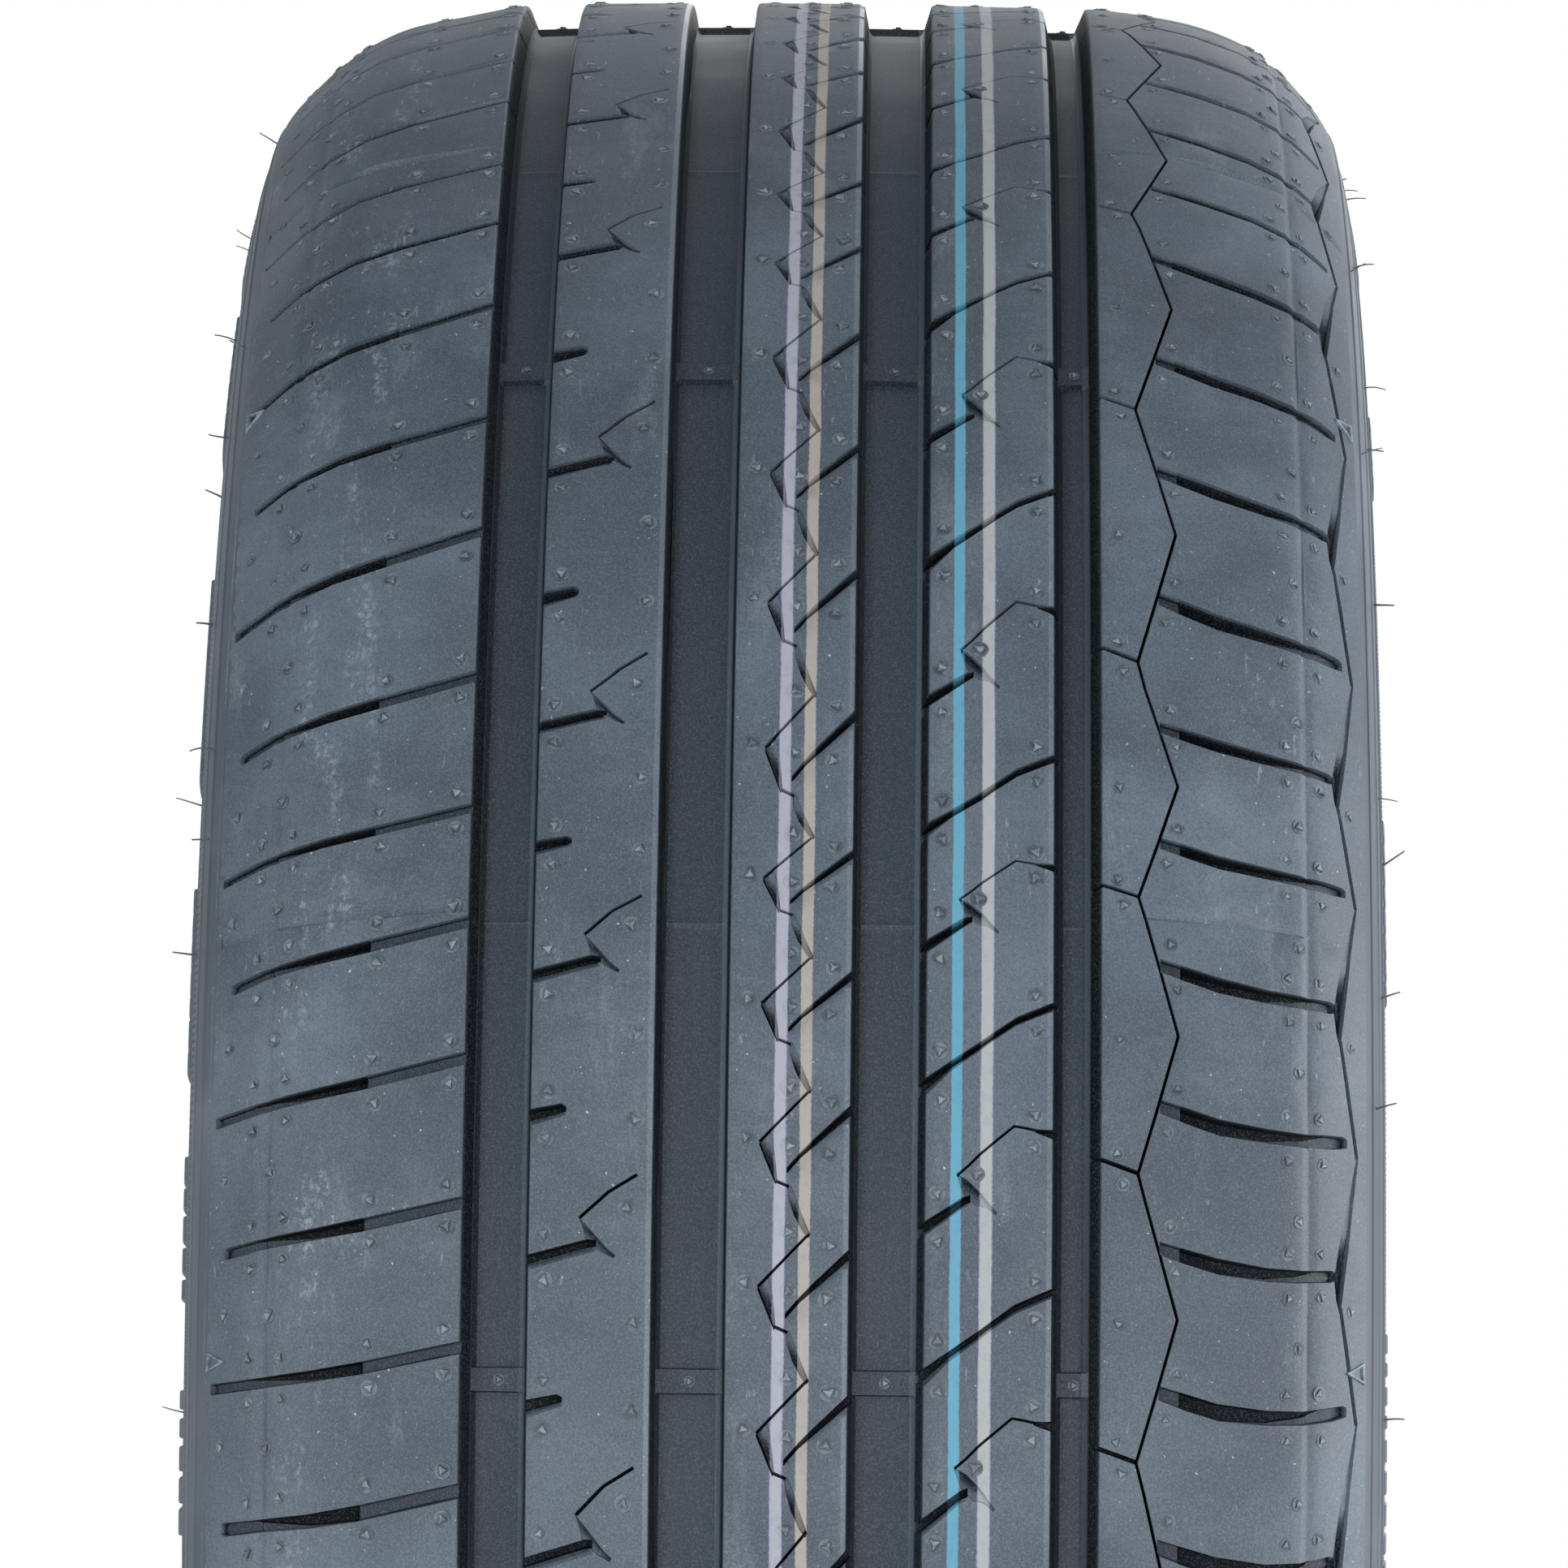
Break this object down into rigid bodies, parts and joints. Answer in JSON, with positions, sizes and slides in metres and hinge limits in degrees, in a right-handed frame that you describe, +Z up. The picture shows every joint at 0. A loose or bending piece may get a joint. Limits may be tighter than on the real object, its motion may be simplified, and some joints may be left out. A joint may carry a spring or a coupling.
{
  "type": "car tire",
  "caption": "Low-profile radial road tire with circumferential and lateral tread grooves, built up from separate rubber, cord, belt and bead layers round an open rim seat.",
  "frame": {"origin": "centre of the wheel, on the axle at the tire's mid-plane", "axes": "+Y along the axle, towards the right-hand side as seen facing the tread from +X with +Z up; +Z up through the standing tire; +X forward"},
  "size_m": [0.6532, 0.249, 0.6532],
  "materials": {
    "tread_rubber": "matte bluish dark grey tread compound, dusty, with light scuffs",
    "side_rubber": "matte dark grey sidewall compound",
    "rim_rubber": "smooth satin black compound",
    "base_rubber": "matte black cushion compound",
    "hard_rubber": "hard black filler compound",
    "liner_rubber": "smooth satin black air-tight compound",
    "nylon_cord": "rubberised nylon cord wound at 0 degrees",
    "belt_cord": "rubberised brass-coated steel cord on the bias",
    "polyester_cord": "rubberised polyester cord laid radially",
    "bead_wire": "bronze-coated bead wire",
    "bead_textile": "rubberised woven wrap"
  },
  "bodies": {
    "root": {"tread_cap": "tread_rubber", "tread_base": "base_rubber", "tread_wing_left": "side_rubber", "tread_wing_right": "side_rubber", "cap_ply": "nylon_cord", "edge_band_left": "nylon_cord", "edge_band_right": "nylon_cord", "belt_upper": "belt_cord", "belt_lower": "belt_cord", "belt_edge_wedge_left": "base_rubber", "belt_edge_wedge_right": "base_rubber", "body_ply": "polyester_cord", "inner_liner": "liner_rubber", "bead_core_left": "bead_wire", "bead_core_right": "bead_wire", "bead_wrap_left": "bead_textile", "bead_wrap_right": "bead_textile", "bead_filler_left": "hard_rubber", "bead_filler_right": "hard_rubber", "chafer_left": "rim_rubber", "chafer_right": "rim_rubber", "toe_strip_left": "rim_rubber", "toe_strip_right": "rim_rubber", "rim_protector_left": "rim_rubber", "rim_protector_right": "rim_rubber", "sidewall_left": "side_rubber", "sidewall_right": "side_rubber"}
  },
  "joints": []
}
